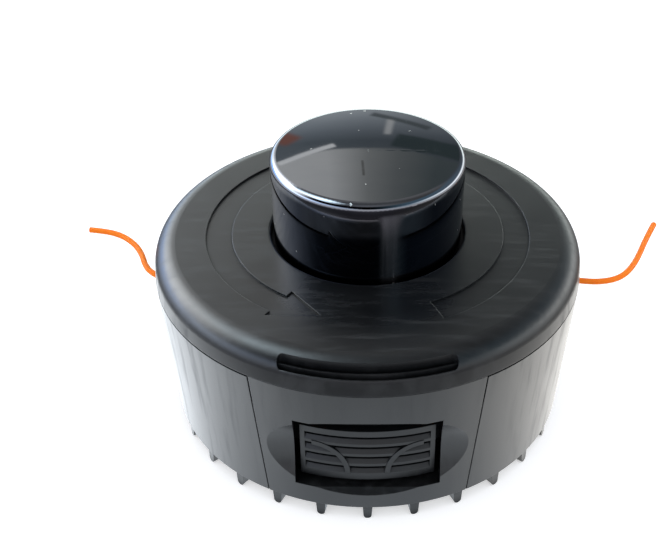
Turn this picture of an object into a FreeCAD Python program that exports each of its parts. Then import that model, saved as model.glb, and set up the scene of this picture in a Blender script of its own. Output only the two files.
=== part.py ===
import FreeCAD, Part
import math
import os

# Tap-and-go line trimmer head, lying as photographed: knob up, on the tips of its cooling vanes.
# Millimetres. +Z runs along the drive axis from the machine side to the knob. The origin is the
# centre of the footprint, on the vane tips. Angles go round from the front (-Y) towards +X.

V = FreeCAD.Vector

# Housing bowl
SEAM_R = 55.0            # outside radius where housing and cover meet
SEAM_Z = 42.5            # height of that seam above the vane tips
FOOT_LEAN = 2.7          # the drafted wall stands this much further in at its lower edge
FOOT_Z = 4.3             # height of that lower edge
WALL_T = 2.6             # wall of the bowl
FLOOR_Z = 7.0            # machine-side face of the bowl's floor
FLOOR_T = 2.5            # thickness of that floor
SEAM_GAP = 0.45          # open line between cover and housing
SEAM_FIT = 0.08          # the same line between the parting lines, where it is tight
PARTING_X = 27.6         # mould parting lines at the seam, from the middle of front and back
PARTING_LEAN = 3.2       # they stand this much further in at the wall's foot
PARTING_W = 0.3          # width of such a line
PARTING_DEPTH = 0.15     # depth of such a line
PARTING_SLIT = 8.3       # length of its open upper end, down from the seam
PARTING_SLIT_T = 1.0     # depth of that open end

# Cooling vanes and hub on the machine side
VANES = 28               # radial vanes under the floor
VANE_ROOT_W = 2.8        # vane thickness at the floor
VANE_TIP_W = 2.0         # vane thickness at its rounded tip
VANE_INSET = 0.5         # vane ends stand back this much from the wall's foot
RING_R = 26.0            # ring that the vanes start from
RING_T = 2.0             # wall of that ring
RING_Z = 1.5             # its lower edge
HUB_RIBS = 8             # ribs between ring and hub
HUB_RIB_W = 2.2          # rib thickness
HUB_RIB_Z = 3.0          # lower edge of those ribs
HUB_WALL = 3.5           # hub around the collar of the arbor insert
HUB_Z = 0.8              # machine-side face of hub and insert

# Arbor insert and the post that the spool slides and turns on
HEX_AF = 16.0            # across the flats of the insert
INSERT_H = 19.2          # length of the insert
COLLAR_R = 12.0          # its collar
COLLAR_T = 2.5           # thickness of the collar
MOULD_FIT = 0.03         # play between the insert and the moulding around it
THREAD_R = 4.35          # tapped bore of the insert, for an M10 x 1.25 left-hand thread
SPINDLE_R = 5.6          # clearance bore above the insert
POST_WALL = 1.76         # wall of the post at the corners of the insert
POST_GAP = 0.7           # post end to knob floor with the knob pressed in

# Cover
COVER_RISE = 9.2         # top of the cover above the seam, at the knob hole
COVER_FALL = 0.75        # fall of the top from the knob hole to the rim
COVER_LEAN = 0.7         # the rim's corner, before rounding, stands in from the seam
RIM_ROUND = 5.6          # rounding of the rim
PLATE_T = 2.5            # thickness of the cover's plate
HOLE_ROUND = 0.7         # rounding of the knob hole's edge
SPIGOT_FIT = 0.3         # play of the spigot inside the housing wall
SPIGOT_T = 2.0           # wall of the spigot
SPIGOT_DEPTH = 2.2       # reach of the spigot below the seam
ARROW_INSET = 13.5       # outer edge of the two sunk arrows, in from the seam radius
ARROW_W = 6.7            # width of their bands
ARROW_TAIL_DEG = 25.3    # tail of the right-hand arrow
ARROW_SWEEP = 121.2      # length of the band, in degrees
ARROW_HEAD = 17.0        # length of the head, in degrees
ARROW_BARB = 2.0         # how far the head stands out beside the band
ARROW_DEPTH = 0.5        # depth of the arrows
SLOT_INSET = 0.5         # double slot in the rim, in from the seam radius
SLOT_W = 2.2             # its width
SLOT_HALF_DEG = 21.2     # half of the slot's length, before its round ends
SLOT_FLOOR = 3.0         # floor of the slot above the seam
SLOT_RIB_T = 0.4         # rib along the middle of the slot
SLOT_RIB_TOP = 5.4       # top of that rib above the seam

# Latch tabs of the cover, in the windows of the housing
TAB_INSET = 5.0          # grip face of the tab, in from the seam radius
TAB_GRIP_T = 2.2         # thickness of the grip block
TAB_BACK_T = 2.2         # thickness of the springy back plate
TAB_HALF_W = 16.2        # half width of the grip
TAB_DROP = 15.3          # top of the tab below the seam
TAB_FOOT_GAP = 2.0       # lower edge of the tab above the bowl's floor
STEM_HALF_DEG = 12.0     # half width of the stem up to the cover
WING_REACH = 4.0         # wings beside the tab that catch under the lugs
WING_H = 7.0             # height of the wings
GROOVES = 4              # finger grooves across the grip
GROOVE_TOP = 1.8         # tab top to the first groove
GROOVE_H = 2.3           # height of a groove at the grip face
GROOVE_SLIT = 1.0        # height of its deep upper part
GROOVE_FOOT = 2.1        # last groove to the tab's lower edge
GROOVE_DEPTH = 2.0       # depth of that part
GROOVE_SLOPE = 0.5       # depth at which its sloping lower side begins
GROOVE_END = 1.2         # solid strip at each end of a groove
ARC_R = 8.6              # curved ribs on the grip: middle radius
ARC_W = 1.3              # their width
ARC_INSET = 2.8          # their centre from the side of the grip
ARC_Z = 2.2              # their centre above the tab's lower edge
ARC_PROUD = 0.15         # their height above the grip face

# Windows and finger scoops of the housing
WINDOW_SIDE = 1.3        # gap beside the tab
WINDOW_UNDER = 1.2       # gap below the tab
WINDOW_ABOVE = 5.0       # finger gap above the tab
PAD_PLAY = 0.9           # tab wing to the flat pad beside the window
SCOOP_WALL = 2.4         # wall left behind the deepest part of the scoop
SCOOP_R = 16.7           # radius of the scoop
SCOOP_DROP = 0.75        # its middle below the middle of the window
PAD_MARGIN = 7.5         # pad beside the window
HEAD_PAD_PLAY = 0.5      # tab to the thickening above the window
HEAD_PAD_GAP = 2.6       # that thickening to the spigot of the cover
LUG_W = 2.6              # catch lug
LUG_T = 2.0              # its thickness
LUG_PLAY = 0.4           # wing top to lug
LUG_SIDE = 0.3           # lug to window edge
LUG_BITE = 1.3           # overlap of lug and wing

# Knob
KNOB_R = 24.0            # outside of the steel cap at its foot
KNOB_FLARE = 0.35        # the cap is this much wider at the top
KNOB_RISE = 22.8         # top of the dome above the cover
KNOB_DOME = 0.9          # height of the dome
KNOB_EDGE = 1.8          # rounding between side and dome
KNOB_GAP = 0.85          # foot of the cap to the knob hole
CAP_T = 0.8              # steel of the cap
CAP_FIT = 0.05           # cap to core
KNOB_LIP = 2.95          # flange of the core behind the cover
KNOB_FLANGE_T = 2.8      # thickness of that flange
KNOB_STOP = 0.2          # flange to cover at rest
CORE_RING_T = 2.2        # ring of the knob core under the cap's shoulder
CORE_RING_H = 5.0        # height of that ring
CORE_RIBS = 2            # ribs of the knob core for each screw
CORE_RIB_W = 1.8         # their thickness
CORE_TOP_GAP = 0.3       # ribs to the dome
SCREWS = 3               # screws that hold the knob on the spool
SCREW_R = 1.5            # shank
SCREW_FIT = 0.05         # shank to hole
SCREW_HEAD_R = 2.9       # head
SCREW_HEAD_H = 2.0       # its height
SCREW_FLOOR = 4.2        # tip of a screw above the spool's shoulder

# Spool, washer and spring
TRAVEL = 5.0             # how far the knob and spool can be tapped in
POST_FIT = 0.08          # spool on post
CAVITY_R = 17.8          # spring chamber
CAVITY_DEPTH = 14.5      # depth of that chamber
CORE_WALL = 1.7          # wall between the chamber and the wound line
FLANGE_PLAY = 2.6        # flanges of the spool to the latch tabs
FLANGE_T = 2.0           # their thickness
HUB_RISE = 2.2           # spool hub above its upper flange
TOOTH_INSET = 0.8        # drive teeth, in from the flange's edge
TOOTH_LENGTH = 4.5       # radial length of a tooth
TOOTH_DEG = 12.0         # width of a tooth
TEETH = 4                # teeth in each ring
TOOTH_UP_H = 3.6         # teeth on top of the spool
TOOTH_UP_GAP = 1.2       # tip of a cover tooth to the spool flange
TOOTH_LOW_H = 3.5        # teeth under the spool
TOOTH_LOW_GAP = 0.5      # their tips to the floor, knob pressed in
TOOTH_CATCH = 2.2        # travel at which the lower teeth meet
TOOTH_PLAY_DEG = 0.4     # driven tooth to driving tooth at rest
TURN_DEG = 20.0          # free turn of the spool between the tooth rings
WASHER_T = 1.0           # thrust washer
WASHER_PLAY = 0.5        # washer on the post
WASHER_RUN = 0.05        # washer to spool shoulder
SPRING_WIRE = 1.7        # spring wire
SPRING_TURNS = 6.5       # turns

# Cutting line
LINE_D = 1.6             # line
WIND_INSET = 8.0         # outside of the wound line, in from the flange's edge
WIND_RUN = 0.3           # leads to the winding
WIND_SIDE = 0.2          # winding to flanges
WIND_RIDGES = 7          # ridges of turns that the winding shows

# Eyelets
EYELET_ROOM = 0.4        # boss around the eyelet to the cover's spigot
EYELET_BORE_R = 2.4      # bore
EYELET_WALL = 0.8        # wall of the tube
EYELET_REACH = 1.0       # flange beyond the tube
EYELET_FLANGE_T = 0.6    # thickness of the flange
EYELET_PROUD = 0.3       # outer face of the eyelet beyond the widest radius
EYELET_LENGTH = 3.4      # length of the eyelet
EYELET_SEAT = 0.7        # boss around the eyelet's flange
EYELET_FIT = 0.03        # eyelet to the housing around it
EYELET_LIP = 0.5         # rounding of the bore's mouths

# Line between the winding and the eyelets
LEFT_EXIT_DEG = 32.0     # direction in plan, from the eyelet's axis
RIGHT_EXIT_DEG = 12.0
LEFT_BEND = 6.0          # bend inside the housing, before the eyelet's middle
RIGHT_BEND = 5.4
LINE_START = 0.2         # free ends begin this far outside the eyelet

# Free ends of the line: (out from the eyelet's face, back, drop below the eyelet)
LEFT_ROUTE = [(3.0, 3.3, 0.0), (5.0, 6.9, 0.0), (6.4, 11.3, 0.1), (8.6, 15.7, 0.2),
              (11.6, 19.4, 0.3), (15.2, 22.2, 0.4), (19.3, 23.9, 0.6), (23.4, 24.9, 0.8)]
RIGHT_ROUTE = [(3.6, -1.1, 0.0), (7.4, -0.9, 0.0), (11.0, 0.4, 0.1), (13.9, 2.8, 0.1),
               (16.7, 6.9, 0.2), (19.3, 12.1, 0.3), (21.8, 17.9, 0.4), (24.2, 23.0, 0.5),
               (26.4, 27.5, 0.7)]

# Places worked out from the sizes above
foot_r = SEAM_R - FOOT_LEAN
floor_top = FLOOR_Z + FLOOR_T
hex_corner = HEX_AF / 2 / math.cos(math.radians(30))
post_r = hex_corner + POST_WALL
hub_r = COLLAR_R + HUB_WALL
cover_top = SEAM_Z + COVER_RISE
cover_under = cover_top - PLATE_T
spigot_foot = SEAM_Z - SPIGOT_DEPTH
hole_r = KNOB_R + KNOB_GAP
spool_hub_top = cover_under - KNOB_STOP - KNOB_FLANGE_T
spool_top = spool_hub_top - HUB_RISE
spool_bottom = floor_top + TRAVEL + TOOTH_LOW_GAP + TOOTH_LOW_H
shoulder_z = spool_bottom + CAVITY_DEPTH
washer_top = shoulder_z - WASHER_RUN
post_top = spool_hub_top - TRAVEL - POST_GAP
knob_foot = cover_under - KNOB_STOP
knob_shoulder = cover_top + KNOB_RISE - KNOB_DOME
knob_top = knob_shoulder + KNOB_DOME
tab_r = SEAM_R - TAB_INSET
tab_back_r = tab_r - TAB_GRIP_T
tab_inner_r = tab_back_r - TAB_BACK_T
tab_top = SEAM_Z - TAB_DROP
tab_foot = floor_top + TAB_FOOT_GAP
window_half = TAB_HALF_W + WINDOW_SIDE
window_top = tab_top + WINDOW_ABOVE
window_foot = tab_foot - WINDOW_UNDER
pad_y = math.sqrt(tab_back_r ** 2 - window_half ** 2) + PAD_PLAY
scoop_y = pad_y + SCOOP_WALL
scoop_z = (window_top + window_foot) / 2 - SCOOP_DROP
bore_r = post_r + POST_FIT
core_r = CAVITY_R + CORE_WALL
flange_r = tab_inner_r - FLANGE_PLAY
tooth_r1 = flange_r - TOOTH_INSET
tooth_r0 = tooth_r1 - TOOTH_LENGTH
wind_r = flange_r - WIND_INSET
spring_r = (post_r + CAVITY_R) / 2
screw_circle = (bore_r + core_r) / 2
screw_tip = shoulder_z + SCREW_FLOOR
line_r = LINE_D / 2
eyelet_tube_r = EYELET_BORE_R + EYELET_WALL
eyelet_flange_r = eyelet_tube_r + EYELET_REACH
eyelet_boss_r = eyelet_flange_r + EYELET_SEAT
eyelet_z = spigot_foot - EYELET_ROOM - eyelet_boss_r
eyelet_x = SEAM_R + EYELET_PROUD
tooth_half = TOOTH_DEG / 2
spool_tooth_deg = TOOTH_DEG + TOOTH_PLAY_DEG
floor_tooth_deg = spool_tooth_deg + TOOTH_DEG + TURN_DEG + 2 * TOOTH_PLAY_DEG
OVER = 1.0               # cutters and joined pieces run past a face by this much


def at(r, deg, z=0.0):
    """Point at radius r, so many degrees round from the front."""
    a = math.radians(deg)
    return V(r * math.sin(a), -r * math.cos(a), z)


def wall_r(z):
    """Outside radius of the drafted housing wall at height z."""
    return foot_r + FOOT_LEAN * (z - FOOT_Z) / (SEAM_Z - FOOT_Z)


def turned(outline):
    """Solid of revolution about Z from (r, z) corners."""
    corners = [V(r, 0, z) for r, z in outline]
    face = Part.Face(Part.makePolygon(corners + corners[:1]))
    return face.revolve(V(0, 0, 0), V(0, 0, 1), 360)


def ring(r0, r1, z0, z1):
    """Plain ring about Z."""
    return turned([(r0, z0), (r1, z0), (r1, z1), (r0, z1)])


def rod(r, z0, z1):
    """Plain cylinder on Z."""
    return Part.makeCylinder(r, z1 - z0, V(0, 0, z0))


def block(x0, x1, y0, y1, z0, z1):
    """Box between two corners."""
    return Part.makeBox(x1 - x0, y1 - y0, z1 - z0, V(x0, y0, z0))


def sector(r0, r1, z0, z1, middle, half):
    """Piece of a ring, half degrees to each side of middle."""
    a, b = middle - half, middle + half
    edges = [Part.Arc(at(r1, a, z0), at(r1, middle, z0), at(r1, b, z0)).toShape(),
             Part.makeLine(at(r1, b, z0), at(r0, b, z0)),
             Part.Arc(at(r0, b, z0), at(r0, middle, z0), at(r0, a, z0)).toShape(),
             Part.makeLine(at(r0, a, z0), at(r1, a, z0))]
    return Part.Face(Part.Wire(edges)).extrude(V(0, 0, z1 - z0))


def spun(shape, deg):
    """Copy of a shape turned about Z."""
    copy = shape.copy()
    copy.rotate(V(0, 0, 0), V(0, 0, 1), deg)
    return copy


def around(shape, count):
    """Evenly spaced copies of a shape about Z."""
    return [spun(shape, i * 360.0 / count) for i in range(count)]


def mirrored(shape):
    """Copy of a shape on the other side of the YZ plane."""
    return shape.mirror(V(0, 0, 0), V(1, 0, 0))


def circle_edges(solid, r, z):
    """Edges of a solid that lie on the circle of radius r at height z."""
    found = []
    for edge in solid.Edges:
        point = edge.Vertexes[0].Point
        flat = edge.BoundBox.ZLength < 0.001
        if flat and abs(math.hypot(point.x, point.y) - r) < 0.001 and abs(point.z - z) < 0.001:
            found.append(edge)
    return found


def bowl():
    """Drafted wall and floor of the housing, up to the tight part of the seam."""
    top = SEAM_Z - SEAM_FIT
    shell = turned([(foot_r, FOOT_Z), (wall_r(top), top), (wall_r(top) - WALL_T, top),
                    (wall_r(floor_top) - WALL_T, floor_top), (0, floor_top), (0, FLOOR_Z),
                    (foot_r - WALL_T, FLOOR_Z), (foot_r - WALL_T, FOOT_Z)])
    side = math.degrees(math.acos(PARTING_X / SEAM_R))
    open_line = [sector(SEAM_R - 2 * WALL_T, SEAM_R + OVER, SEAM_Z - SEAM_GAP, SEAM_Z + OVER, middle, side)
                 for middle in (90, 270)]
    return shell.cut(open_line)


def vane():
    """One radial vane with a rounded tip, lying along +X."""
    root, tip = VANE_ROOT_W / 2, VANE_TIP_W / 2
    top = FLOOR_Z + FLOOR_T / 2
    x = RING_R - RING_T / 2
    edges = [Part.makeLine(V(x, root, top), V(x, root, FLOOR_Z)),
             Part.makeLine(V(x, root, FLOOR_Z), V(x, tip, tip)),
             Part.Arc(V(x, tip, tip), V(x, 0, 0), V(x, -tip, tip)).toShape(),
             Part.makeLine(V(x, -tip, tip), V(x, -root, FLOOR_Z)),
             Part.makeLine(V(x, -root, FLOOR_Z), V(x, -root, top)),
             Part.makeLine(V(x, -root, top), V(x, root, top))]
    length = foot_r - VANE_INSET - x
    return Part.Face(Part.Wire(edges)).extrude(V(length, 0, 0))


def hexagon(across, z0, z1):
    """Hexagonal bar on Z."""
    corner = across / 2 / math.cos(math.radians(30))
    points = [at(corner, 60 * i, z0) for i in range(7)]
    return Part.Face(Part.makePolygon(points)).extrude(V(0, 0, z1 - z0))


def machine_side():
    """Vanes, ring, hub, hub ribs and post, as pieces to join to the bowl."""
    top = FLOOR_Z + FLOOR_T / 2
    rib = block(hub_r - OVER, RING_R - RING_T / 2, -HUB_RIB_W / 2, HUB_RIB_W / 2, HUB_RIB_Z, top)
    front = -90.0
    vanes = [spun(piece, front) for piece in around(vane(), VANES)]
    ribs = [spun(piece, 180.0 / HUB_RIBS) for piece in around(rib, HUB_RIBS)]
    return vanes + ribs + [ring(RING_R - RING_T, RING_R, RING_Z, top), rod(hub_r, HUB_Z, top),
                           rod(post_r, FLOOR_Z, post_top)]


def hub_cuts():
    """Seat of the arbor insert and the spindle bore through the post."""
    insert_top = HUB_Z + INSERT_H
    return [hexagon(HEX_AF + 2 * MOULD_FIT, HUB_Z - OVER, insert_top + MOULD_FIT),
            rod(COLLAR_R + MOULD_FIT, HUB_Z - OVER, HUB_Z + COLLAR_T + MOULD_FIT),
            rod(SPINDLE_R, insert_top, post_top + OVER)]


def window_pads():
    """Flat pads behind the front scoop, the thickening above the window and the catch lugs."""
    half = window_half + PAD_MARGIN
    pad = block(-half, half, -SEAM_R, -pad_y, FLOOR_Z + FLOOR_T / 2, window_top)
    head_y = tab_r + HEAD_PAD_PLAY
    head = block(-half, half, -SEAM_R, -head_y, window_top, spigot_foot - HEAD_PAD_GAP)
    inside = turned([(0, floor_top - OVER), (wall_r(floor_top - OVER) - WALL_T / 2, floor_top - OVER),
                     (wall_r(SEAM_Z) - WALL_T / 2, SEAM_Z), (0, SEAM_Z)])
    x0 = window_half + LUG_SIDE
    x1 = x0 + LUG_W
    bite = math.sqrt(tab_back_r ** 2 - ((x0 + x1) / 2) ** 2) - LUG_BITE
    lug_z = tab_top + LUG_PLAY
    lug = block(x0, x1, -pad_y - OVER, -bite, lug_z, lug_z + LUG_T)
    return [pad.common(inside), head.common(inside), lug, mirrored(lug)]


def window_cuts():
    """Finger scoop and window at the front."""
    axis_y = scoop_y + SCOOP_R
    reach = 2 * SEAM_R
    scoop = Part.makeCylinder(SCOOP_R, reach, V(-reach / 2, -axis_y, scoop_z), V(1, 0, 0))
    window = block(-window_half, window_half, -SEAM_R - OVER, -pad_y + OVER,
                   window_foot, window_top)
    return [scoop, window]


def leaning_slab(z0, z1):
    """Thin upright slab along the right-hand parting line of the front, between two heights."""
    slope = PARTING_LEAN / (SEAM_Z - FOOT_Z)
    corners = []
    for z, side in ((z0, -1), (z0, 1), (z1, 1), (z1, -1)):
        corners.append(V(PARTING_X - slope * (SEAM_Z - z) + side * PARTING_W / 2, 0, z))
    return Part.Face(Part.makePolygon(corners + corners[:1])).extrude(V(0, -SEAM_R - OVER, 0))


def parting_lines():
    """Fine grooves that the side cores of the mould leave on the wall, open at their upper ends."""
    low, high = FOOT_Z - OVER, SEAM_Z + OVER
    cuts = []
    for depth, z0 in ((PARTING_DEPTH, low), (PARTING_SLIT_T, SEAM_Z - PARTING_SLIT)):
        skin = turned([(wall_r(z0) - depth, z0), (wall_r(high) - depth, high),
                       (wall_r(high) + OVER, high), (wall_r(z0) + OVER, z0)])
        line = skin.common(leaning_slab(z0, high))
        cuts += [line, mirrored(line), spun(line, 180), spun(mirrored(line), 180)]
    return cuts


def along_x(r, x0, x1):
    """Cylinder on the right-hand eyelet's axis."""
    return Part.makeCylinder(r, x1 - x0, V(x0, 0, eyelet_z), V(1, 0, 0))


def housing():
    """The moulded bowl that screws onto the machine."""
    eyelet_back = eyelet_x - EYELET_LENGTH
    seat = eyelet_x - EYELET_FLANGE_T
    boss = along_x(eyelet_boss_r, eyelet_back, seat)
    eyelet_hole = along_x(eyelet_tube_r + EYELET_FIT, eyelet_back - WALL_T, eyelet_x + OVER)
    flange_seat = along_x(eyelet_flange_r + EYELET_FIT, seat, eyelet_x + OVER)
    teeth = around(sector(tooth_r0, tooth_r1, floor_top - OVER,
                          floor_top + TRAVEL + TOOTH_LOW_GAP - TOOTH_CATCH, floor_tooth_deg, tooth_half), TEETH)
    joined = machine_side() + teeth + [boss, spun(boss, 180)]
    for piece in window_pads():
        joined += [piece, spun(piece, 180)]
    cuts = hub_cuts() + parting_lines()
    for piece in window_cuts() + [eyelet_hole, flange_seat]:
        cuts += [piece, spun(piece, 180)]
    return bowl().fuse(joined).cut(cuts).removeSplitter()


def arbor_insert():
    """Hexagonal steel insert with a collar and a tapped bore."""
    body = hexagon(HEX_AF, HUB_Z, HUB_Z + INSERT_H).fuse(rod(COLLAR_R, HUB_Z, HUB_Z + COLLAR_T))
    return body.cut(rod(THREAD_R, HUB_Z - OVER, HUB_Z + INSERT_H + OVER)).removeSplitter()


def eyelet():
    """Flanged eyelet that the line leaves through, on the right."""
    back = eyelet_x - EYELET_LENGTH
    body = along_x(eyelet_tube_r, back, eyelet_x)
    body = body.fuse(along_x(eyelet_flange_r, eyelet_x - EYELET_FLANGE_T, eyelet_x))
    body = body.cut(along_x(EYELET_BORE_R, back - OVER, eyelet_x + OVER)).removeSplitter()
    mouths = [e for e in body.Edges if e.Curve.TypeId == "Part::GeomCircle"
              and abs(e.Curve.Radius - EYELET_BORE_R) < 0.001]
    return body.makeFillet(EYELET_LIP, mouths)


def cover_blank():
    """Plate, rounded rim and spigot of the cover, before its cuts."""
    spigot_r = wall_r(spigot_foot) - WALL_T - SPIGOT_FIT
    rim_r, rim_z = SEAM_R - COVER_LEAN, cover_top - COVER_FALL
    body = turned([(hole_r, cover_top), (rim_r, rim_z), (SEAM_R, SEAM_Z), (spigot_r, SEAM_Z),
                   (spigot_r, spigot_foot), (spigot_r - SPIGOT_T, spigot_foot),
                   (spigot_r - SPIGOT_T, cover_under), (hole_r, cover_under)])
    body = body.makeFillet(RIM_ROUND, circle_edges(body, rim_r, rim_z))
    return body.makeFillet(HOLE_ROUND, circle_edges(body, hole_r, cover_top))


def arrow(blank):
    """Cutter for one curved arrow, sunk to an even depth below the sloping top."""
    z = cover_under
    r1 = SEAM_R - ARROW_INSET
    r0 = r1 - ARROW_W
    base = ARROW_TAIL_DEG + ARROW_SWEEP
    middle = ARROW_TAIL_DEG + ARROW_SWEEP / 2
    tip = at((r0 + r1) / 2, base + ARROW_HEAD, z)
    inner, outer = at(r0, base, z), at(r1, base, z)
    barb_in, barb_out = at(r0 - ARROW_BARB, base, z), at(r1 + ARROW_BARB, base, z)
    tail_in, tail_out = at(r0, ARROW_TAIL_DEG, z), at(r1, ARROW_TAIL_DEG, z)
    edges = [Part.Arc(tail_out, at(r1, middle, z), outer).toShape(),
             Part.makeLine(outer, barb_out), Part.makeLine(barb_out, tip),
             Part.makeLine(tip, barb_in), Part.makeLine(barb_in, inner),
             Part.Arc(inner, at(r0, middle, z), tail_in).toShape(),
             Part.makeLine(tail_in, tail_out)]
    prism = Part.Face(Part.Wire(edges)).extrude(V(0, 0, COVER_RISE))
    lowered = blank.copy()
    lowered.translate(V(0, 0, -ARROW_DEPTH))
    plate = rod(SEAM_R, cover_under - OVER, cover_under)
    return prism.cut([lowered, plate])


def rim_slots():
    """Cutters for the double slot in the rim at the front, with round ends."""
    slot_r = SEAM_R - SLOT_INSET
    middle_r = slot_r - SLOT_W / 2
    floor = SEAM_Z + SLOT_FLOOR
    slot = sector(slot_r - SLOT_W, slot_r, floor, cover_top + OVER, 0, SLOT_HALF_DEG)
    ends = [Part.makeCylinder(SLOT_W / 2, cover_top + OVER - floor, at(middle_r, deg, floor))
            for deg in (-SLOT_HALF_DEG, SLOT_HALF_DEG)]
    rib = ring(middle_r - SLOT_RIB_T / 2, middle_r + SLOT_RIB_T / 2, floor - OVER, SEAM_Z + SLOT_RIB_TOP)
    return slot.fuse(ends).removeSplitter().cut(rib)


def curved_rib(outer):
    """One quarter-round rib of the grip, on the right."""
    centre = V(TAB_HALF_W - ARC_INSET, 0, tab_foot + ARC_Z)
    span = (90, 180)
    quarter = []
    for r in (ARC_R + ARC_W / 2, ARC_R - ARC_W / 2):
        points = [centre + V(r * math.cos(math.radians(a)), 0, r * math.sin(math.radians(a)))
                  for a in (span[0], sum(span) / 2, span[1])]
        quarter.append(points)
    big, small = quarter
    edges = [Part.Arc(*big).toShape(), Part.makeLine(big[2], small[2]),
             Part.Arc(small[2], small[1], small[0]).toShape(), Part.makeLine(small[0], big[0])]
    slab = Part.Face(Part.Wire(edges)).extrude(V(0, -outer - OVER, 0))
    return slab.common(ring(tab_back_r - OVER, outer, tab_foot, tab_top))


def latch_tab():
    """Snap tab at the front: stem, back plate, catch wings and grooved grip."""
    grip = ring(tab_back_r - OVER, tab_r, tab_foot, tab_top)
    grip = grip.common(block(-TAB_HALF_W, TAB_HALF_W, -tab_r, 0, tab_foot, tab_top))
    grooves = []
    end_x = TAB_HALF_W - GROOVE_END
    pitch = (tab_top - tab_foot - GROOVE_TOP - GROOVE_FOOT - GROOVE_H) / (GROOVES - 1)
    for i in range(GROOVES):
        top = tab_top - GROOVE_TOP - i * pitch
        cutter = turned([(tab_r - GROOVE_DEPTH, top), (tab_r + OVER, top), (tab_r + OVER, top - GROOVE_H),
                         (tab_r, top - GROOVE_H), (tab_r - GROOVE_SLOPE, top - GROOVE_SLIT),
                         (tab_r - GROOVE_DEPTH, top - GROOVE_SLIT)])
        grooves.append(cutter.common(block(-end_x, end_x, -tab_r - OVER, 0, top - GROOVE_H, top)))
    rib = curved_rib(tab_r + ARC_PROUD)
    grip = grip.cut(grooves).fuse([rib, mirrored(rib)])
    middle_r = (tab_inner_r + tab_back_r) / 2
    back_half = math.degrees(math.asin(TAB_HALF_W / tab_back_r))
    wing_half = math.degrees(math.asin((TAB_HALF_W + WING_REACH) / middle_r))
    back = sector(tab_inner_r, tab_back_r, tab_foot, tab_top, 0, back_half)
    wings = sector(tab_inner_r, tab_back_r, tab_top - WING_H, tab_top, 0, wing_half)
    stem = sector(tab_inner_r, tab_back_r, tab_top - OVER, cover_under + OVER, 0, STEM_HALF_DEG)
    return back.fuse([grip, wings, stem])


def cover():
    """The snap-on cover: one moulding with its latch tabs and drive teeth."""
    blank = cover_blank()
    tab = latch_tab()
    teeth = around(sector(tooth_r0, tooth_r1, spool_top + TOOTH_UP_GAP, cover_under + OVER, 0, tooth_half), TEETH)
    head = arrow(blank)
    slot = rim_slots()
    body = blank.cut([head, spun(head, 180), slot, spun(slot, 180)])
    return body.fuse([tab, spun(tab, 180)] + teeth).removeSplitter()


def spool():
    """Winding spool with spring chamber and two rings of drive teeth."""
    body = turned([(bore_r, shoulder_z), (CAVITY_R, shoulder_z), (CAVITY_R, spool_bottom),
                   (flange_r, spool_bottom), (flange_r, spool_bottom + FLANGE_T),
                   (core_r, spool_bottom + FLANGE_T), (core_r, spool_top - FLANGE_T),
                   (flange_r, spool_top - FLANGE_T), (flange_r, spool_top), (core_r, spool_top),
                   (core_r, spool_hub_top), (bore_r, spool_hub_top)])
    upper = sector(tooth_r0, tooth_r1, spool_top - FLANGE_T / 2, spool_top + TOOTH_UP_H, spool_tooth_deg, tooth_half)
    lower = sector(tooth_r0, tooth_r1, spool_bottom - TOOTH_LOW_H, spool_bottom + FLANGE_T / 2,
                   spool_tooth_deg, tooth_half)
    holes = [rod_at(SCREW_R + SCREW_FIT, deg, screw_tip - SCREW_FIT, spool_hub_top + OVER)
             for deg in screw_places()]
    return body.fuse(around(upper, TEETH) + around(lower, TEETH)).cut(holes).removeSplitter()


def thrust_washer():
    """Flat steel washer between the spring and the spool's shoulder."""
    return ring(post_r + WASHER_PLAY, CAVITY_R - WASHER_PLAY, washer_top - WASHER_T, washer_top)


def spring():
    """Compression spring with ground ends, at its length at rest."""
    low, high = floor_top, washer_top - WASHER_T
    pitch = (high - low) / SPRING_TURNS
    helix = Part.makeHelix(pitch, high - low, spring_r)
    helix.translate(V(0, 0, low))
    section = Part.Wire(Part.makeCircle(SPRING_WIRE / 2, V(spring_r, 0, low), V(0, 1, pitch / (2 * math.pi * spring_r))))
    coil = Part.Wire(helix.Edges).makePipeShell([section], True, True)
    return coil.common(ring(spring_r - SPRING_WIRE, spring_r + SPRING_WIRE, low, high))


def cap_r(z):
    """Outside radius of the cap's flared side at height z."""
    return KNOB_R + KNOB_FLARE * (z - knob_foot) / (knob_shoulder - knob_foot)


def cap_blank(inset):
    """Outer form of the cap, drawn in by inset all round."""
    shoulder = knob_shoulder - inset
    edge = V(cap_r(shoulder) - inset, 0, shoulder)
    mid = V(edge.x / 2, 0, shoulder + KNOB_DOME * 3 / 4)
    top = V(0, 0, shoulder + KNOB_DOME)
    axis_foot, foot = V(0, 0, knob_foot), V(KNOB_R - inset, 0, knob_foot)
    edges = [Part.makeLine(axis_foot, foot), Part.makeLine(foot, edge),
             Part.Arc(edge, mid, top).toShape(), Part.makeLine(top, axis_foot)]
    body = Part.Face(Part.Wire(edges)).revolve(V(0, 0, 0), V(0, 0, 1), 360)
    return body.makeFillet(KNOB_EDGE - inset / 2, circle_edges(body, edge.x, edge.z))


def knob_cap():
    """Drawn steel cup over the knob."""
    return cap_blank(0).cut(cap_blank(CAP_T))


def screw_places():
    """Angles of the knob screws, which lie between the ribs of the core."""
    return [i * 360.0 / SCREWS for i in range(SCREWS)]


def rod_at(r, deg, z0, z1):
    """Upright cylinder on the screws' pitch circle."""
    return Part.makeCylinder(r, z1 - z0, at(screw_circle, deg, z0))


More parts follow.
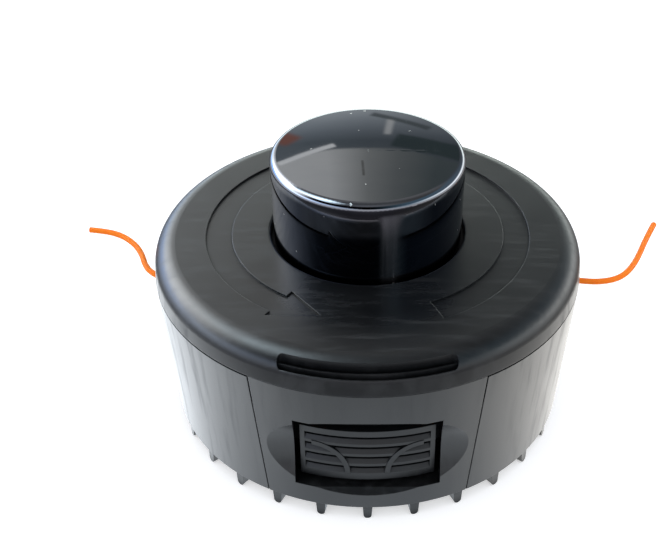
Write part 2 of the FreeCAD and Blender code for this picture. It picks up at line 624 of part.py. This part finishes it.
def knob_core():
    """Plastic core inside the cap: ribs under the dome, a ring, and the flange behind the cover."""
    gap = CAP_T + CAP_FIT
    top = knob_shoulder - KNOB_EDGE - CAP_T
    foot_r, top_r = KNOB_R - gap, cap_r(top) - gap
    low = top - CORE_RING_H
    low_r = cap_r(low) - gap
    under_dome = knob_shoulder - CAP_T - CORE_TOP_GAP
    collar = turned([(low_r - CORE_RING_T, low), (low_r, low), (top_r, top), (top_r - CORE_RING_T, top)])
    floor = ring(post_r + POST_GAP, hole_r + KNOB_LIP, spool_hub_top, knob_foot)
    envelope = turned([(0, knob_foot - OVER), (foot_r, knob_foot - OVER), (foot_r, knob_foot), (top_r, top),
                       (top_r - KNOB_EDGE, under_dome), (0, under_dome + KNOB_DOME)])
    count = CORE_RIBS * SCREWS
    bar = spun(block(0, KNOB_R, -CORE_RIB_W / 2, CORE_RIB_W / 2, knob_foot - OVER, knob_top), -90 + 180.0 / count)
    bars = around(bar, count)
    ribs = bars[0].fuse(bars[1:]).common(envelope)
    holes = [rod_at(SCREW_R + SCREW_FIT, deg, spool_hub_top - OVER, knob_foot + OVER) for deg in screw_places()]
    return floor.fuse([collar, ribs]).cut(holes).removeSplitter()


def knob_screws():
    """Pan-head screws from the knob core into the spool, as a group."""
    group = []
    for deg in screw_places():
        shank = rod_at(SCREW_R, deg, screw_tip, knob_foot + SCREW_HEAD_H / 2)
        head = rod_at(SCREW_HEAD_R, deg, knob_foot, knob_foot + SCREW_HEAD_H)
        group.append(shank.fuse(head).removeSplitter())
    return Part.makeCompound(group)


def line_winding():
    """Wound cutting line, its outer turns drawn as ridges."""
    low, high = spool_bottom + FLANGE_T + WIND_SIDE, spool_top - FLANGE_T - WIND_SIDE
    inner = core_r + WIND_SIDE
    step = (high - low) / WIND_RIDGES
    outline = [(inner, low), (wind_r - line_r, low)]
    for i in range(WIND_RIDGES):
        outline.append((wind_r, low + (i + 0.5) * step))
        outline.append((wind_r - line_r, low + (i + 1) * step))
    return turned(outline + [(inner, high)])


def unit(vector):
    """Vector of length one in the same direction."""
    return vector * (1.0 / vector.Length)


def tube(name, points):
    """Round line along straight runs joined by tangent arcs."""
    edges = []
    start = points[0]
    share = 0.45
    for before, corner, after in zip(points, points[1:], points[2:]):
        incoming, outgoing = corner - before, after - corner
        half_turn = incoming.getAngle(outgoing) / 2
        reach = share * min(incoming.Length, outgoing.Length)
        radius = reach / math.tan(half_turn)
        enter, leave = corner - unit(incoming) * reach, corner + unit(outgoing) * reach
        inward = unit(unit(outgoing) - unit(incoming))
        middle = corner + inward * (radius / math.cos(half_turn) - radius)
        edges += [Part.makeLine(start, enter), Part.Arc(enter, middle, leave).toShape()]
        start = leave
        print(name, "bend radius", round(radius, 1), "run", round(incoming.Length, 1))
    edges.append(Part.makeLine(start, points[-1]))
    path = Part.Wire(edges)
    section = Part.Wire(Part.makeCircle(line_r, points[0], points[1] - points[0]))
    solid = path.makePipeShell([section], True, False)
    print(name, "length", round(path.Length, 1), "volume ratio",
          round(solid.Volume / (math.pi * line_r ** 2 * path.Length), 4))
    return solid


def lead_points(side, exit_deg, bend):
    """Winding, bend inside the housing, and the exit point of the line outside the eyelet."""
    a = math.radians(exit_deg)
    out = V(side * math.cos(a), -side * math.sin(a), 0)
    eyelet_mid = V(side * (eyelet_x - EYELET_LENGTH / 2), 0, eyelet_z)
    corner = eyelet_mid - out * bend
    leave = eyelet_mid + out * ((EYELET_LENGTH / 2 + LINE_START) / math.cos(a))
    touch_r = wind_r + line_r + WIND_RUN
    span = math.hypot(corner.x, corner.y)
    turn = math.atan2(corner.y, corner.x) + math.acos(touch_r / span)
    touch = V(touch_r * math.cos(turn), touch_r * math.sin(turn), eyelet_z)
    return [touch, corner, leave]


def route_points(side, leave, route):
    """Free end of the line from its exit point through its chosen points."""
    return [leave] + [V(side * (eyelet_x + out), back, eyelet_z - drop) for out, back, drop in route]


def save(name, shape):
    """Write one sub-part and print its check values."""
    print(name, "valid", shape.isValid(), "solids", len(shape.Solids), "volume", round(shape.Volume, 1))
    shape.exportStep("parts/" + name + ".step")


def main():
    """Build and write every sub-part."""
    os.makedirs("parts", exist_ok=True)
    left = lead_points(-1, LEFT_EXIT_DEG, LEFT_BEND)
    right = lead_points(1, RIGHT_EXIT_DEG, RIGHT_BEND)
    pieces = {
        "housing": housing(),
        "arbor_insert": arbor_insert(),
        "eyelet_right": eyelet(),
        "eyelet_left": spun(eyelet(), 180),
        "cover": cover(),
        "spring": spring(),
        "thrust_washer": thrust_washer(),
        "spool": spool(),
        "line_winding": line_winding(),
        "knob_core": knob_core(),
        "knob_cap": knob_cap(),
        "knob_screws": knob_screws(),
        "line_lead_left": tube("line_lead_left", left),
        "line_lead_right": tube("line_lead_right", right),
        "line_left": tube("line_left", route_points(-1, left[-1], LEFT_ROUTE)),
        "line_right": tube("line_right", route_points(1, right[-1], RIGHT_ROUTE)),
    }
    for name, shape in pieces.items():
        save(name, shape)


main()
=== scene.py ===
import math

import bpy
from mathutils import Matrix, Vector

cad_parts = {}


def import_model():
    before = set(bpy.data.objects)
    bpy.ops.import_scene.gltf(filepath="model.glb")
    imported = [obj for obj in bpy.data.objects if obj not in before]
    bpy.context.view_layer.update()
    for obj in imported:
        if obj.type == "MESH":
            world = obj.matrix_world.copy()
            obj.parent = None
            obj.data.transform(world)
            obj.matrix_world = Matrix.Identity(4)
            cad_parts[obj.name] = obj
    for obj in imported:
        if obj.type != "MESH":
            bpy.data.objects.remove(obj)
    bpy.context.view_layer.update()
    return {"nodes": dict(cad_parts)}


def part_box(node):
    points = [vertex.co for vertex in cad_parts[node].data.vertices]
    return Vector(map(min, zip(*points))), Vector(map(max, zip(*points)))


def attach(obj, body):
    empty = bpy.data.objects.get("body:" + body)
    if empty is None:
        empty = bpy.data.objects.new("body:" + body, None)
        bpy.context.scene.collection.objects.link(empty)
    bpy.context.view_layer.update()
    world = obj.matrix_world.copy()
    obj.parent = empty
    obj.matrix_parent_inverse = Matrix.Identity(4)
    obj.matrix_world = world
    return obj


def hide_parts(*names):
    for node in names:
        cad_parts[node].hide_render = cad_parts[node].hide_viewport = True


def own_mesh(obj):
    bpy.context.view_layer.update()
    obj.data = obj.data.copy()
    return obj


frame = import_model()
nodes = frame["nodes"]
scene = bpy.context.scene

MM = 0.001
DEGREES = math.degrees(1.0)
WHITE = (1.0, 1.0, 1.0, 1.0)

# Camera of the photograph
LENS, SENSOR = 62.27, 36.0
SHIFT_X, SHIFT_Y = -0.0487, -0.0213
CAM_AT = Vector((0.0, -0.2488, 0.2168))
LOOK_AT = Vector((0.0, 0.0, 0.0425))

# Free ends of the line in millimetres, the same points as in the part's source
LINE_WIDTH = 1.6
EYELET_X, EYELET_Z = 55.3, 35.0
LEFT_START = (-55.5, 1.187)
RIGHT_START = (55.5, -0.404)
LEFT_ROUTE = [(3.0, 3.3, 0.0), (5.0, 6.9, 0.0), (6.4, 11.3, 0.1), (8.6, 15.7, 0.2),
              (11.6, 19.4, 0.3), (15.2, 22.2, 0.4), (19.3, 23.9, 0.6), (23.4, 24.9, 0.8)]
RIGHT_ROUTE = [(3.6, -1.1, 0.0), (7.4, -0.9, 0.0), (11.0, 0.4, 0.1), (13.9, 2.8, 0.1),
               (16.7, 6.9, 0.2), (19.3, 12.1, 0.3), (21.8, 17.9, 0.4), (24.2, 23.0, 0.5),
               (26.4, 27.5, 0.7)]

# Knob: its top, its radius, and places below its top
KNOB_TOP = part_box("knob_cap")[1][2]
KNOB_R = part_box("knob_cap")[1][0]
DOME_EDGE = (KNOB_TOP - 1.7 * MM, KNOB_TOP - 1.2 * MM)
STRIPE_END = (KNOB_TOP - 3.3 * MM, KNOB_TOP - 5.0 * MM)
SIDE_START = (KNOB_TOP - 3.3 * MM, KNOB_TOP - 4.5 * MM)
BAND_FOOT = (KNOB_TOP - 11.3 * MM, KNOB_TOP - 9.0 * MM)

# Knob, in degrees round from the front: a wiped stripe whose lighter tone is a painted reflection, and a
# painted reflection band on the side; and a scuff on its dome
STRIPE = ((5.0, 9.0), (15.0, 24.0))
BAND = ((-44.0, -18.0), (20.0, 42.0))
SCUFF_AT, SCUFF_HALF = (-1.1 * MM, -8.4 * MM), (0.3 * MM, 3.4 * MM)
SCUFF_TURN, SCUFF_SOFT = 3.0, 0.22 * MM

# Smooth place on the cover in front of the knob: where it fades in and out, and its reach in degrees
SMOOTH_RING = ((KNOB_R - 4.0 * MM, KNOB_R + 0.5 * MM), (KNOB_R + 10.0 * MM, KNOB_R + 22.0 * MM))
SMOOTH_REACH = 75.0

# Moulded edges: their softening, and how far painted shade in a hollow dims the gloss of its walls
EDGE_SOFT = 0.22 * MM
HOLLOW = 3.5 * MM

# Light that the part mirrors. The room's bands are heights in degrees, where each fades in and out.
SILL = ((-3, -1), (4, 8))
LOW = ((-3, -1), (10, 18))
MIDDLE = ((10, 18), (40, 50))
HIGH = ((40, 50), (66, 76))
ZENITH = ((66, 76), (100, 101))

# Band, bearing from the back, reach to each side, colour. It is brightest at the left.
ROOM = [
    (SILL, 180, 60, (1.9, 1.9, 1.95)),
    (LOW, -120, 60, (2.2, 2.7, 3.6)),
    (LOW, -85, 45, (4.0, 4.5, 5.2)),
    (LOW, -50, 45, (0.8, 1.8, 4.2)),
    (LOW, 0, 60, (3.6, 4.0, 3.8)),
    (LOW, 55, 45, (3.3, 3.4, 3.4)),
    (LOW, 90, 50, (3.0, 3.0, 2.9)),
    (LOW, 120, 60, (0.70, 0.95, 1.15)),
    (MIDDLE, -60, 55, (10.2, 10.4, 10.4)),
    (MIDDLE, 0, 60, (0.16, 0.16, 0.16)),
    (MIDDLE, 60, 60, (0.30, 0.42, 0.52)),
    (MIDDLE, 120, 60, (0.22, 0.38, 0.50)),
    (HIGH, -90, 60, (7.0, 8.5, 9.3)),
    (HIGH, 0, 90, (0.45, 0.45, 0.45)),
    (HIGH, 90, 90, (0.2, 0.2, 0.2)),
    (HIGH, 180, 90, (0.40, 0.42, 0.45)),
    (ZENITH, 0, 900, (0.24, 0.25, 0.26)),
]

# The table's rings are distances from the part's axis in metres
FOOT = ((-2.0, -1.0), (0.070, 0.090))
APRON = ((0.070, 0.090), (0.090, 0.120))
NEAR = ((-2.0, -1.0), (0.10, 0.13))
NEXT = ((0.12, 0.15), (0.20, 0.26))
NEXT_FRONT = ((0.12, 0.14), (0.20, 0.26))
FAR = ((0.20, 0.26), (50.0, 51.0))

TABLE = [
    (FOOT, 180, 90, (1.10, 1.20, 1.30)),
    (APRON, 180, 90, (1.45, 1.57, 1.66)),
    (NEAR, -90, 80, (3.5, 3.7, 3.9)),
    (NEAR, 0, 90, (3.6, 3.6, 3.5)),
    (NEAR, 90, 80, (2.95, 2.90, 2.80)),
    (NEXT, -90, 80, (0.25, 0.27, 0.30)),
    (NEXT, 90, 80, (0.30, 0.29, 0.28)),
    (NEXT_FRONT, 180, 90, (0.22, 0.21, 0.25)),
    (FAR, -90, 90, (1.6, 1.7, 1.9)),
    (FAR, 90, 90, (1.5, 1.5, 1.5)),
    (FAR, 180, 90, (1.1, 1.1, 1.15)),
]
ROOM_LIGHT = (1.05, 1.06, 1.08, 1.0)
TABLE_SIZE, TABLE_DROP = 3.0, 0.1 * MM
TABLE_PAPER, TABLE_GLOW = (0.80, 0.82, 0.85, 1.0), 0.50

# Wall and ceiling that the dome mirrors, in degrees round from the back and of height
PICTURE_AT, PICTURE_HALF, PICTURE_SOFT = (0.0, 30.0), (12.0, 12.5), 2.0
PICTURE_SIDE = 10.0
PICTURE_LIGHT = 2.9
WALL_FOOT, WALL_TOP = 18.0, 30.0
CORNICE, CORNICE_BEND, CORNICE_SOFT = 29.4, 1.7, 0.25
CEILING_TONES = [(0.0, (0.45, 0.45, 0.43)), (0.28, (0.41, 0.41, 0.39)), (0.50, (0.185, 0.190, 0.180)),
                 (0.66, (0.115, 0.122, 0.118)), (0.88, (0.06, 0.072, 0.072))]
WALL_TONES = [(0.0, (0.55, 0.56, 0.54)), (0.20, (0.36, 0.39, 0.40)), (0.40, (0.24, 0.265, 0.28)),
              (0.62, (0.145, 0.165, 0.18)), (0.80, (0.088, 0.104, 0.114)), (1.0, (0.10, 0.115, 0.125))]
WALL_SIDES = [(0.0, 0.62), (0.30, 0.50), (0.5, 0.42), (0.75, 0.36), (1.0, 0.34)]
WALL_GAIN = 1.75

# Shapes on them: middle, half size, turn, softness, colour, share. A reddish patch, a light ledge, a dark
# area, a light post and a dark strip.
SHAPES = [
    ((-8.6, 25.6), (1.2, 1.7), -40.0, 0.5, (0.20, 0.07, 0.045), 0.8),
    ((-6.5, 29.9), (3.4, 0.40), -25.0, 0.14, (0.70, 0.70, 0.67), 0.85),
    ((6.6, 28.3), (4.0, 1.5), 14.0, 0.30, (0.028, 0.040, 0.040), 0.85),
    ((2.1, 24.2), (0.35, 1.9), 4.0, 0.25, (0.42, 0.42, 0.40), 0.7),
    ((3.2, 22.6), (3.2, 0.45), 28.0, 0.25, (0.05, 0.06, 0.06), 0.8),
]


class Tree:
    """Small helper that builds a material or world node tree."""

    def __init__(self, owner):
        owner.use_nodes = True
        self.tree = owner.node_tree
        self.tree.nodes.clear()

    def add(self, kind, inputs=None, **props):
        node = self.tree.nodes.new(kind)
        for key, value in props.items():
            setattr(node, key, value)
        for key, value in (inputs or {}).items():
            self.put(node.inputs[key], value)
        return node

    def put(self, socket, value):
        """Link a socket to another one, or give it a value."""
        if isinstance(value, bpy.types.NodeSocket):
            self.tree.links.new(value, socket)
        else:
            socket.default_value = value

    def math(self, operation, a, b=0.0, clamp=False):
        return self.add("ShaderNodeMath", {0: a, 1: b}, operation=operation, use_clamp=clamp).outputs[0]

    def times(self, a, b, clamp=False):
        return self.math("MULTIPLY", a, b, clamp)

    def minus(self, a, b):
        return self.math("SUBTRACT", a, b)

    def total(self, first, *others):
        for other in others:
            first = self.math("ADD", first, other)
        return first

    def ramp(self, fac, stops):
        node = self.add("ShaderNodeValToRGB", {"Fac": fac})
        elements = node.color_ramp.elements
        while len(elements) < len(stops):
            elements.new(0.5)
        for element, (place, colour) in zip(elements, stops):
            element.position = place
            element.color = (*colour, 1.0)
        return node.outputs["Color"]

    def mix(self, fac, a, b, kind="MIX"):
        node = self.add("ShaderNodeMix", {0: fac, 6: a, 7: b}, data_type="RGBA", blend_type=kind)
        return node.outputs[2]

    def noise(self, vector, scale, detail=3.0, rough=0.55):
        return self.add("ShaderNodeTexNoise", {"Vector": vector, "Scale": scale, "Detail": detail,
                                               "Roughness": rough}).outputs["Fac"]

    def streaky(self, vector, scale, detail, turn=0.0, rough=0.55):
        """Noise with a scale of its own along each axis, turned about Z by so many radians."""
        node = self.add("ShaderNodeMapping", {"Vector": vector, "Scale": scale, "Rotation": (0.0, 0.0, turn)})
        return self.noise(node.outputs["Vector"], 1.0, detail, rough)

    def step(self, value, start, end):
        """Smooth rise from 0 at start to 1 at end, or a fall where end is below start."""
        low, high, a, b = (start, end, 0.0, 1.0) if start < end else (end, start, 1.0, 0.0)
        inputs = {"Value": value, "From Min": low, "From Max": high, "To Min": a, "To Max": b}
        return self.add("ShaderNodeMapRange", inputs, interpolation_type="SMOOTHSTEP").outputs[0]

    def span(self, value, low, high):
        """0 at low and 1 at high, in a straight line."""
        return self.add("ShaderNodeMapRange", {"Value": value, "From Min": low, "From Max": high}).outputs[0]

    def window(self, value, fade_in, fade_out):
        return self.times(self.step(value, *fade_in), self.step(value, fade_out[1], fade_out[0]))

    def sector(self, angle, middle, reach):
        """1 at the middle angle, falling smoothly to 0 at reach from it, all in degrees."""
        inputs = {0: self.minus(angle, float(middle)), 1: 180.0, 2: -180.0}
        away = self.add("ShaderNodeMath", inputs, operation="WRAP").outputs[0]
        return self.step(self.math("ABSOLUTE", away), float(reach), 0.0)

    def patch(self, u, v, middle, half, turn, soft):
        """Soft-edged rectangle in the plane of u and v, turned by an angle in degrees."""
        c, s = math.cos(math.radians(turn)), math.sin(math.radians(turn))
        du, dv = self.minus(u, middle[0]), self.minus(v, middle[1])
        along = self.math("ABSOLUTE", self.total(self.times(du, c), self.times(dv, s)))
        across = self.math("ABSOLUTE", self.minus(self.times(dv, c), self.times(du, s)))
        return self.times(self.step(along, half[0] + soft, half[0] - soft),
                          self.step(across, half[1] + soft, half[1] - soft))

    def scaled(self, colour, value):
        inputs = {0: colour, "Scale": value}
        return self.add("ShaderNodeVectorMath", inputs, operation="SCALE").outputs[0]

    def plus(self, a, b):
        return self.add("ShaderNodeVectorMath", {0: a, 1: b}, operation="ADD").outputs[0]

    def split(self, vector):
        node = self.add("ShaderNodeSeparateXYZ", {0: vector})
        return [node.outputs[axis] for axis in "XYZ"]

    def bearing(self, x, y):
        """Angle from +Y towards +X in degrees."""
        return self.times(self.math("ARCTAN2", x, y), DEGREES)

    def from_front(self, x, y):
        """Angle from -Y towards +X in degrees."""
        return self.bearing(x, self.times(y, -1.0))

    def distance(self, x, y):
        return self.math("SQRT", self.total(self.times(x, x), self.times(y, y)))

    def zones(self, place, angle, rows):
        """Light of all rows of a table, each soft-edged in place and in angle."""
        light = (0.0, 0.0, 0.0)
        for (fade_in, fade_out), middle, reach, colour in rows:
            share = self.times(self.window(place, fade_in, fade_out), self.sector(angle, middle, reach))
            light = self.plus(light, self.scaled(colour, share))
        return light


def grey(v):
    return (v, v, v)


def material(name):
    mat = bpy.data.materials.new(name)
    tree = Tree(mat)
    coords = tree.add("ShaderNodeTexCoord").outputs["Object"]
    return mat, tree, coords


def close(tree, surface):
    tree.add("ShaderNodeOutputMaterial", {"Surface": surface})


def finished(mat, tree, **inputs):
    """End a material with the main shader, whose sockets are given with _ for a space."""
    sockets = {key.replace("_", " "): value for key, value in inputs.items()}
    close(tree, tree.add("ShaderNodeBsdfPrincipled", sockets).outputs["BSDF"])
    return mat


def moulded(name, dark, light, rough, streaks, specular=0.5, smooth=0.0):
    """Satin black nylon: fine grain, flow marks, rubbed streaks, softened edges, and painted shade that dims
    the gloss in hollows.
    """
    mat, t, co = material(name)
    grain = t.noise(co, scale=5200.0, detail=2.0)
    flow = t.noise(co, scale=42.0, detail=3.0)
    rubbed = t.ramp(t.streaky(co, streaks, detail=4.0, rough=0.62), [(0.50, grey(0.0)), (0.74, grey(1.0))])
    tone = t.ramp(flow, [(0.35, dark), (0.70, light)])
    tone = t.mix(t.times(rubbed, 0.22), tone, (0.045, 0.047, 0.050, 1.0))
    roughness = t.total(t.times(rubbed, 0.14), t.times(flow, 0.10), rough)
    x, y, _ = t.split(co)
    front = t.sector(t.from_front(x, y), 0.0, SMOOTH_REACH)
    worn = t.times(t.window(t.distance(x, y), *SMOOTH_RING), front)
    roughness = t.minus(roughness, t.times(worn, smooth))
    soft = t.add("ShaderNodeBevel", {"Radius": EDGE_SOFT}, samples=4).outputs["Normal"]
    bump = t.add("ShaderNodeBump", {"Strength": 0.10, "Distance": 0.04 * MM, "Height": grain,
                                    "Normal": soft}).outputs["Normal"]
    # Painted shade: the gloss is dimmed where ambient occlusion finds a hollow.
    open_air = t.add("ShaderNodeAmbientOcclusion", {"Distance": HOLLOW}, samples=6).outputs["AO"]
    sheen = t.times(t.step(open_air, 0.38, 0.98), specular * 0.85)
    return finished(mat, t, Base_Color=tone, Roughness=roughness, Normal=bump,
                    Specular_IOR_Level=t.total(sheen, specular * 0.15))


def polished_steel():
    """Dark chromed steel: clear reflections, wiping marks, a wiped stripe with a painted reflection, painted
    shade on the side wall with a painted reflection band, a scuff and specks.
    """
    mat, t, co = material("knob_steel")
    x, y, z = t.split(co)
    around = t.from_front(x, y)
    smear = t.streaky(co, (70.0, 150.0, 40.0), detail=3.0, turn=0.6)
    hair = t.ramp(t.streaky(co, (1500.0, 90.0, 90.0), detail=2.0, turn=0.9),
                  [(0.66, grey(0.0)), (0.74, grey(1.0))])
    specks = t.step(t.noise(co, scale=620.0, detail=1.0), 0.775, 0.79)
    brushed = t.streaky(co, (900.0, 900.0, 25.0), detail=2.0)
    # The stripe is a rougher wiped mark, and its lighter tone is a painted reflection.
    stripe = t.times(t.window(around, *STRIPE), t.step(z, *STRIPE_END))
    stripe = t.times(stripe, t.total(t.times(brushed, 0.9), 0.45))
    scuff = t.times(t.patch(x, y, SCUFF_AT, SCUFF_HALF, SCUFF_TURN, SCUFF_SOFT), t.step(z, *DOME_EDGE))
    scuff = t.times(scuff, t.total(t.times(t.noise(co, scale=1400.0, detail=2.0), 0.8), 0.4))
    # Painted shade: the steel of the side wall is darker. The band on its front is lighter, a painted
    # reflection.
    side = t.step(z, *SIDE_START)
    band = t.times(t.window(around, *BAND), t.step(z, *BAND_FOOT))
    roughness = t.total(t.times(smear, 0.030), t.times(hair, 0.035), t.times(stripe, 0.22),
                        t.times(specks, 0.35), 0.018)
    tone = t.ramp(smear, [(0.3, (0.162, 0.170, 0.190)), (0.7, (0.175, 0.182, 0.200))])
    # Tones laid over the steel: painted shade on the side, painted reflections in its band and in the stripe,
    # then the scuff and specks.
    for share, colour in [(side, (0.050, 0.058, 0.080)), (t.times(side, band), (0.34, 0.34, 0.37)),
                          (t.times(stripe, 0.8, clamp=True), (0.50, 0.50, 0.52)),
                          (t.times(scuff, 0.75), (0.03, 0.03, 0.03)),
                          (t.times(specks, 0.6), (0.75, 0.75, 0.75))]:
        tone = t.mix(share, tone, (*colour, 1.0))
    return finished(mat, t, Base_Color=tone, Metallic=1.0, Roughness=roughness)


def plain_metal(name, tone, rough, scale):
    """Brushed or plated metal."""
    mat, t, co = material(name)
    grain = t.streaky(co, scale, detail=3.0)
    darker = tuple(c * 0.86 for c in tone)
    colour = t.ramp(grain, [(0.3, darker), (0.7, tone)])
    return finished(mat, t, Base_Color=colour, Metallic=1.0, Roughness=t.total(t.times(grain, 0.18), rough))


def nylon_line():
    """Orange nylon line, slightly translucent, with faint flecks."""
    mat, t, co = material("line_nylon")
    fleck = t.noise(co, scale=900.0)
    tone = t.ramp(fleck, [(0.35, (1.0, 0.210, 0.014)), (0.65, (1.0, 0.240, 0.018))])
    return finished(mat, t, Base_Color=tone, Roughness=t.total(t.times(fleck, 0.15), 0.40),
                    Specular_IOR_Level=0.12, Subsurface_Weight=0.35, Subsurface_Scale=0.001,
                    Subsurface_Radius=(1.0, 0.35, 0.1))


def camera():
    data = bpy.data.cameras.new("camera")
    data.lens = LENS
    data.sensor_width = SENSOR
    data.shift_x, data.shift_y = SHIFT_X, SHIFT_Y
    data.clip_start = 0.01
    obj = bpy.data.objects.new("camera", data)
    obj.location = CAM_AT
    obj.rotation_euler = (LOOK_AT - CAM_AT).to_track_quat("-Z", "Y").to_euler()
    scene.collection.objects.link(obj)
    scene.camera = obj


def world():
    """White to the camera, plain light on the part, and a room for its gloss and steel to mirror."""
    owner = bpy.data.worlds.new("world")
    scene.world = owner
    t = Tree(owner)
    ray = t.add("ShaderNodeLightPath")
    x, y, z = t.split(t.add("ShaderNodeTexCoord").outputs["Generated"])
    height = t.times(t.math("ARCSINE", z), DEGREES)
    angle = t.bearing(x, y)
    framed = t.patch(angle, height, PICTURE_AT, PICTURE_HALF, 0.0, PICTURE_SOFT)
    light = t.mix(framed, t.zones(height, angle, ROOM), mirrored_wall(t, angle, height))
    tone = t.mix(ray.outputs["Is Glossy Ray"], ROOM_LIGHT, light)
    tone = t.mix(ray.outputs["Is Camera Ray"], tone, WHITE)
    back = t.add("ShaderNodeBackground", {"Color": tone, "Strength": 1.0})
    t.add("ShaderNodeOutputWorld", {"Surface": back.outputs[0]})


def mirrored_wall(t, angle, height):
    """Ceiling and wall behind the part, which the knob's dome mirrors."""
    across = t.span(angle, -PICTURE_SIDE, PICTURE_SIDE)
    ceiling = t.ramp(across, CEILING_TONES)
    wall = t.ramp(t.span(height, WALL_FOOT, WALL_TOP), WALL_TONES)
    sides = t.ramp(across, [(place, grey(tone)) for place, tone in WALL_SIDES])
    wall = t.mix(1.0, wall, t.scaled(sides, WALL_GAIN), "MULTIPLY")
    bend = t.times(t.step(t.math("ABSOLUTE", angle), 3.0, PICTURE_SIDE), CORNICE_BEND)
    above = t.minus(height, t.total(bend, CORNICE))
    picture = t.mix(t.step(above, -CORNICE_SOFT, CORNICE_SOFT), wall, ceiling)
    for middle, half, turn, soft, colour, share in SHAPES:
        mask = t.patch(angle, height, middle, half, turn, soft)
        picture = t.mix(t.times(mask, share), picture, (*colour, 1.0))
    return t.scaled(picture, PICTURE_LIGHT)


def floor():
    """White table: even to the camera, with bright and dim areas in reflections."""
    mesh = bpy.data.meshes.new("floor")
    r = TABLE_SIZE
    mesh.from_pydata([(-r, -r, 0), (r, -r, 0), (r, r, 0), (-r, r, 0)], [], [(0, 1, 2, 3)])
    obj = bpy.data.objects.new("floor", mesh)
    obj.location.z = -TABLE_DROP
    scene.collection.objects.link(obj)
    mat, t, co = material("floor")
    ray = t.add("ShaderNodeLightPath")
    x, y, _ = t.split(co)
    light = t.zones(t.distance(x, y), t.bearing(x, y), TABLE)
    paper = t.add("ShaderNodeBsdfDiffuse", {"Color": TABLE_PAPER})
    glow = t.add("ShaderNodeEmission", {"Strength": t.times(ray.outputs["Is Camera Ray"], TABLE_GLOW)})
    seen = t.add("ShaderNodeAddShader", {0: paper.outputs[0], 1: glow.outputs[0]})
    mirrored = t.add("ShaderNodeEmission", {"Color": light, "Strength": 1.0})
    both = t.add("ShaderNodeMixShader", {0: ray.outputs["Is Glossy Ray"], 1: seen.outputs[0],
                                         2: mirrored.outputs[0]})
    close(t, both.outputs[0])
    mesh.materials.append(mat)


def dress(materials):
    """Give each of the part's own solids its material."""
    for name, obj in nodes.items():
        obj.data.materials.clear()
        obj.data.materials.append(materials[name])
        for face in obj.data.polygons:
            face.material_index = 0


def free_line(node, side, start, route, mat):
    """Free end of the cutting line as one smooth curve."""
    points = [(start[0], start[1], EYELET_Z)]
    points += [(side * (EYELET_X + out), back, EYELET_Z - drop) for out, back, drop in route]
    name = node + "_cord"
    data = bpy.data.curves.new(name, "CURVE")
    data.dimensions = "3D"
    data.bevel_depth = LINE_WIDTH / 2 * MM
    data.bevel_resolution = 6
    data.resolution_u = 10
    data.use_fill_caps = True
    spline = data.splines.new("NURBS")
    spline.points.add(len(points) - 1)
    for point, (x, y, z) in zip(spline.points, points):
        point.co = (x * MM, y * MM, z * MM, 1.0)
    spline.order_u = 3
    spline.use_endpoint_u = True
    obj = bpy.data.objects.new(name, data)
    data.materials.append(mat)
    scene.collection.objects.link(obj)
    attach(obj, "housing")
    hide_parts(node)


def coil(mat):
    """The spring, copied with its own mesh and carried by the housing. The real one shortens as the knob is
    tapped in.
    """
    obj = bpy.data.objects.new("spring_coil", nodes["spring"].data.copy())
    scene.collection.objects.link(obj)
    obj.data.materials.clear()
    obj.data.materials.append(mat)
    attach(obj, "housing")
    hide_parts("spring")
    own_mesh(obj)


camera()
world()
floor()

housing_mat = moulded("housing_plastic", dark=(0.0030, 0.0033, 0.0040), light=(0.0048, 0.0051, 0.0058),
                      rough=0.30, streaks=(420.0, 420.0, 26.0), specular=0.65)
cover_mat = moulded("cover_plastic", dark=(0.0042, 0.0048, 0.0058), light=(0.0062, 0.0069, 0.0078),
                    rough=0.30, streaks=(60.0, 420.0, 60.0), smooth=0.15)
inner_mat = moulded("inner_plastic", dark=(0.012, 0.012, 0.0125), light=(0.017, 0.017, 0.0175),
                    rough=0.45, streaks=(120.0, 120.0, 120.0))
chrome = polished_steel()
steel = plain_metal("steel", (0.55, 0.55, 0.56), 0.24, (300.0, 300.0, 40.0))
light_metal = plain_metal("eyelet_metal", (0.72, 0.72, 0.73), 0.22, (60.0, 600.0, 600.0))
nylon = nylon_line()

dress({
    "housing": housing_mat, "cover": cover_mat, "knob_cap": chrome,
    "spool": inner_mat, "knob_core": inner_mat,
    "arbor_insert": steel, "spring": steel, "thrust_washer": steel, "knob_screws": steel,
    "eyelet_left": light_metal, "eyelet_right": light_metal,
    "line_winding": nylon, "line_lead_left": nylon, "line_lead_right": nylon,
    "line_left": nylon, "line_right": nylon,
})

coil(steel)
free_line("line_left", -1, LEFT_START, LEFT_ROUTE, nylon)
free_line("line_right", 1, RIGHT_START, RIGHT_ROUTE, nylon)

scene.view_settings.view_transform = "Standard"
